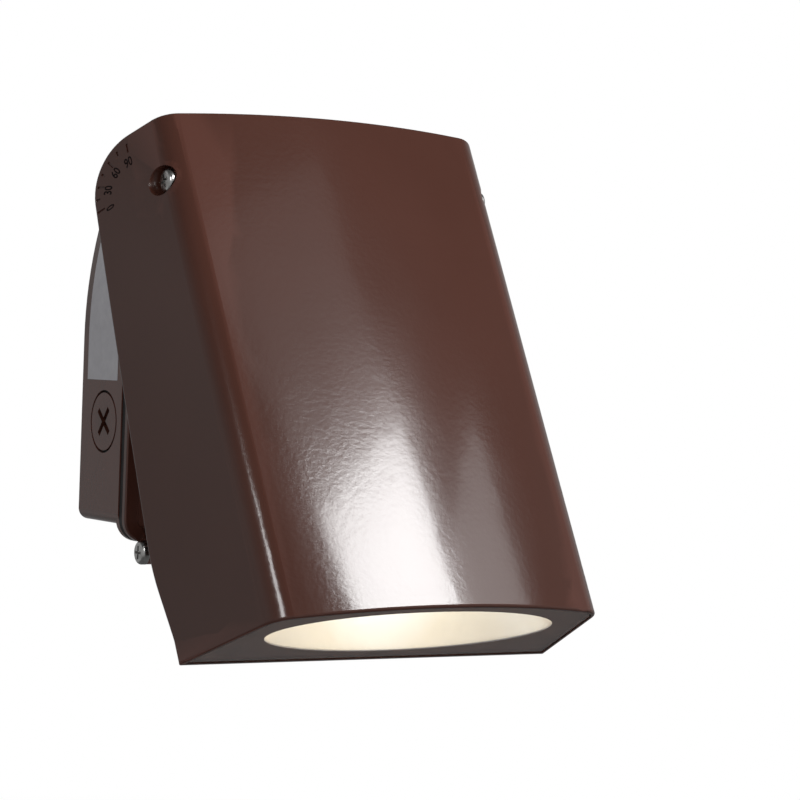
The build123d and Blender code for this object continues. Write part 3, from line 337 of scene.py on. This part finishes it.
def lens_glass():
    """Clear tempered pane with a trace of haze."""
    mat, tree, shader = new_material("lens_glass")
    plain = place(tree)
    tint = ramp(tree, noise(tree, plain, 30.0), [(0.3, (0.95, 0.97, 0.96)), (0.7, (0.98, 0.99, 0.985))])
    tree.links.new(tint, shader.inputs["Base Color"])
    shader.inputs["Transmission Weight"].default_value = 1.0
    shader.inputs["IOR"].default_value = 1.5
    haze = remap(tree, noise(tree, plain, 70.0, 4.0), 0.35, 0.75, 0.0, 0.05)
    tree.links.new(haze, shader.inputs["Roughness"])
    return mat


# ======== pieces ========

def untilt(point):
    """A point at rest, turned back to the head's 0 degree position."""
    return Matrix.Rotation(REST_TILT, 3, "X") @ (point - PIVOT) + PIVOT


def tilt(point):
    """A point of the 0 degree position, at rest."""
    return Matrix.Rotation(-REST_TILT, 3, "X") @ (point - PIVOT) + PIVOT


def hood_surface():
    """The hood's faces, turned back to the head's 0 degree position."""
    mesh = NODES["hood"].data
    points = [untilt(vertex.co) for vertex in mesh.vertices]
    return BVHTree.FromPolygons(points, [tuple(face.vertices) for face in mesh.polygons])


def numeral_mesh(text):
    """Outline of a number as a flat mesh centred on its origin."""
    curve = bpy.data.curves.new("numeral", "FONT")
    curve.body = text
    curve.size = NUMERAL_SIZE
    curve.align_x = "CENTER"
    curve.align_y = "CENTER"
    curve.extrude = NUMERAL_DEPTH / 2
    curve.offset = NUMERAL_BOLDNESS
    curve.resolution_u = 3
    holder = bpy.data.objects.new("numeral", curve)
    mesh = bpy.data.meshes.new_from_object(holder)
    bpy.data.objects.remove(holder)
    return mesh


def make_numerals():
    """Thin dial numbers on the cheek beside their long marks, each with its top facing outward."""
    surface = hood_surface()
    whole = bmesh.new()
    for degrees, radius in NUMERAL_RADIUS.items():
        angle = DIAL_ZERO + math.radians(degrees) + DIAL_TURN
        outward = Vector((0.0, math.cos(angle), math.sin(angle)))
        onward = Vector((0.0, -math.sin(angle), math.cos(angle)))
        part = bmesh.new()
        part.from_mesh(numeral_mesh(str(degrees)))
        for vertex in part.verts:
            depth = vertex.co.z
            along = onward * vertex.co.x * NUMERAL_NARROWING
            spot = DIAL_CENTRE + outward * (radius + vertex.co.y) + along
            hit = surface.ray_cast(Vector((DIAL_SIDE_X, spot.y, spot.z)), Vector((1.0, 0.0, 0.0)))[0]
            face_x = hit.x if hit is not None else spot.x
            vertex.co = tilt(Vector((face_x - NUMERAL_PROUD - depth + NUMERAL_DEPTH / 2, spot.y, spot.z)))
        mesh = bpy.data.meshes.new("numeral_part")
        part.to_mesh(mesh)
        whole.from_mesh(mesh)
    bmesh.ops.recalc_face_normals(whole, faces=whole.faces)
    mesh = bpy.data.meshes.new("dial_numerals")
    whole.to_mesh(mesh)
    piece = bpy.data.objects.new("dial_numerals", mesh)
    bpy.context.scene.collection.objects.link(piece)
    # The numerals' dark material is painted shade of the engraved digits.
    mesh.materials.append(MATERIALS["mark_coat"])
    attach(piece, "head")


def make_flat_piece(node, name, material, outward=0.0):
    """Flat-shaded copy of a plate of the head, in its place; outward moves it towards its front."""
    source = NODES[node].data
    shift = Matrix.Rotation(-REST_TILT, 3, "X") @ Vector((0.0, 0.0, -outward))
    points = [tuple(vertex.co + shift) for vertex in source.vertices]
    faces = [tuple(face.vertices) for face in source.polygons]
    mesh = bpy.data.meshes.new(name)
    mesh.from_pydata(points, [], faces)
    mesh.materials.append(MATERIALS[material])
    piece = bpy.data.objects.new(name, mesh)
    bpy.context.scene.collection.objects.link(piece)
    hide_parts(node)
    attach(piece, "head")


# ======== studio ========

def stage_material():
    """Pale floor with the object's shadow that fades to white further out, and is dim in reflections."""
    mat, tree, shader = new_material("studio_floor")
    plain = place(tree)
    grain = ramp(tree, noise(tree, plain, 40.0), [(0.3, (0.80, 0.80, 0.80)), (0.7, (0.84, 0.84, 0.84))])
    tree.links.new(grain, shader.inputs["Base Color"])
    shader.inputs["Roughness"].default_value = 0.9
    length = tree.nodes.new("ShaderNodeVectorMath")
    length.operation = "LENGTH"
    tree.links.new(plain, length.inputs[0])
    far = remap(tree, length.outputs["Value"], FLOOR_NEAR, FLOOR_FAR, FLOOR_LIFT, 1.0)
    path = tree.nodes.new("ShaderNodeLightPath")
    glossy = path.outputs["Is Glossy Ray"]
    direct = math_node(tree, "MAXIMUM", path.outputs["Is Camera Ray"], path.outputs["Is Transmission Ray"])
    white = math_node(tree, "MAXIMUM", math_node(tree, "MULTIPLY", far, direct), glossy)
    glow = tree.nodes.new("ShaderNodeEmission")
    dim = remap(tree, length.outputs["Value"], FLOOR_NEAR, FLOOR_FAR, FLOOR_MIRRORED, HORIZON_MIRRORED)
    mirrored = math_node(tree, "MULTIPLY", glossy, dim)
    tree.links.new(math_node(tree, "MAXIMUM", direct, mirrored), glow.inputs["Strength"])
    mix = tree.nodes.new("ShaderNodeMixShader")
    out = next(node for node in tree.nodes if node.type == "OUTPUT_MATERIAL")
    tree.links.new(white, mix.inputs[0])
    tree.links.new(shader.outputs["BSDF"], mix.inputs[1])
    tree.links.new(glow.outputs["Emission"], mix.inputs[2])
    tree.links.new(mix.outputs["Shader"], out.inputs["Surface"])
    return mat


def make_floor():
    mesh = bpy.data.meshes.new("studio_floor")
    half = FLOOR_HALF
    corners = [(-half, -half, 0.0), (half, -half, 0.0), (half, half, 0.0), (-half, half, 0.0)]
    mesh.from_pydata(corners, [], [(0, 1, 2, 3)])
    floor = bpy.data.objects.new("studio_floor", mesh)
    floor.location = (0.0, 0.0, FLOOR_Z)
    bpy.context.scene.collection.objects.link(floor)
    mesh.materials.append(stage_material())


def make_world():
    """White for the camera, dim for glossy and transmission rays, and a low light for the rest."""
    world = bpy.data.worlds.new("studio")
    bpy.context.scene.world = world
    world.use_nodes = True
    tree = world.node_tree
    tree.nodes.clear()
    out = tree.nodes.new("ShaderNodeOutputWorld")
    back = tree.nodes.new("ShaderNodeBackground")
    back.inputs["Color"].default_value = (1.0, 1.0, 1.0, 1.0)
    path = tree.nodes.new("ShaderNodeLightPath")
    coords = tree.nodes.new("ShaderNodeTexCoord")
    split = tree.nodes.new("ShaderNodeSeparateXYZ")
    tree.links.new(coords.outputs["Generated"], split.inputs["Vector"])
    seen = ramp(tree, split.outputs["Z"], [
        (0.05, (HORIZON_MIRRORED,) * 3),
        (0.22, (ABOVE_HORIZON_MIRRORED,) * 3),
        (0.65, (OVERHEAD_MIRRORED,) * 3),
    ])
    lit = remap(tree, split.outputs["Z"], 0.0, 0.7, HORIZON_LIGHT, OVERHEAD_LIGHT)
    off_or_through = math_node(
        tree, "MAXIMUM", path.outputs["Is Glossy Ray"], path.outputs["Is Transmission Ray"]
    )
    other = tree.nodes.new("ShaderNodeMix")
    tree.links.new(off_or_through, other.inputs[0])
    tree.links.new(lit, other.inputs[2])
    tree.links.new(seen, other.inputs[3])
    strength = math_node(tree, "MAXIMUM", other.outputs[0], path.outputs["Is Camera Ray"])
    tree.links.new(strength, back.inputs["Strength"])
    tree.links.new(back.outputs["Background"], out.inputs["Surface"])


def make_lights():
    for name, at, width, height, power in LIGHTS:
        data = bpy.data.lights.new(name, "AREA")
        data.shape = "RECTANGLE"
        data.size = width
        data.size_y = height
        data.energy = power
        light = bpy.data.objects.new(name, data)
        light.location = at
        light.rotation_euler = (AIM - Vector(at)).to_track_quat("-Z", "Y").to_euler()
        bpy.context.scene.collection.objects.link(light)


def make_camera():
    yaw, pitch, roll = (math.radians(value) for value in (CAMERA_YAW, CAMERA_PITCH, CAMERA_ROLL))
    forward = Vector((math.sin(yaw) * math.cos(pitch), math.cos(yaw) * math.cos(pitch), math.sin(pitch)))
    level = Vector((math.cos(yaw), -math.sin(yaw), 0.0))
    rise = level.cross(forward)
    right = math.cos(roll) * level + math.sin(roll) * rise
    up = -math.sin(roll) * level + math.cos(roll) * rise
    data = bpy.data.cameras.new("camera")
    data.sensor_width = SENSOR_WIDTH
    data.lens = CAMERA_LENS
    camera = bpy.data.objects.new("camera", data)
    turn = Matrix((right, up, -forward)).transposed()
    camera.matrix_world = Matrix.Translation(CAMERA_AT) @ turn.to_4x4()
    bpy.context.scene.collection.objects.link(camera)
    bpy.context.scene.camera = camera


def paint(names, mat):
    for name in names:
        slots = NODES[name].data.materials
        slots.clear()
        slots.append(mat)


make_camera()
MATERIALS = {
    "bronze_coat": bronze_coat(),
    "mark_coat": mark_coat(),
    "bright_steel": bright_steel(),
    "black_rubber": black_rubber(),
    "label_film": label_film(),
    "driver_case": moulded("driver_case", (0.40, 0.40, 0.41), (0.50, 0.50, 0.51), 0.35, 0.5, 700.0)[0],
    "lead_sheath": moulded("lead_sheath", (0.018, 0.018, 0.018), (0.03, 0.03, 0.03), 0.35, 0.5, 900.0)[0],
    "nylon": moulded("nylon", (0.62, 0.60, 0.54), (0.72, 0.70, 0.65), 0.4, 0.55, 800.0)[0],
    "silicone_pad": moulded("silicone_pad", (0.22, 0.25, 0.28), (0.28, 0.31, 0.35), 0.6, 0.8, 600.0)[0],
    "board_white": moulded("board_white", (0.72, 0.72, 0.70), (0.80, 0.80, 0.78), 0.3, 0.42, 700.0)[0],
    "mask_print": moulded("mask_print", (0.070, 0.030, 0.021), (0.090, 0.040, 0.028), 0.3, 0.4, 500.0)[0],
    "reflector_metal": reflector_metal(),
    "led_phosphor": led_phosphor(),
    "lens_glass": lens_glass(),
}
# Nodes of each material. The glass and its print are left out: make_flat_piece puts copies in their place.
PAINTED = {
    "bronze_coat": ("back_box", "conduit_plugs", "cover", "hood", "lamp_housing"),
    "bright_steel": (
        "cover_screws", "ground_screw", "driver_screws", "pivot_bolts", "lock_screws", "housing_screws",
        "board_screws",
    ),
    "black_rubber": ("plug_orings", "box_gasket", "lens_gasket", "head_grommet"),
    "label_film": ("side_label",),
    "driver_case": ("driver",),
    "lead_sheath": ("driver_lead", "supply_leads", "head_lead"),
    "nylon": ("pivot_washers", "board_connector"),
    "silicone_pad": ("thermal_pad",),
    "board_white": ("led_board",),
    "reflector_metal": ("reflector",),
    "led_phosphor": ("leds",),
}
for material, nodes in PAINTED.items():
    paint(nodes, MATERIALS[material])
make_numerals()
make_flat_piece("lens", "lens_pane", "lens_glass")
make_flat_piece("lens_mask", "pane_print", "mask_print", PRINT_IN_GLASS)
make_floor()
make_world()
make_lights()
bpy.context.scene.view_settings.view_transform = "Standard"
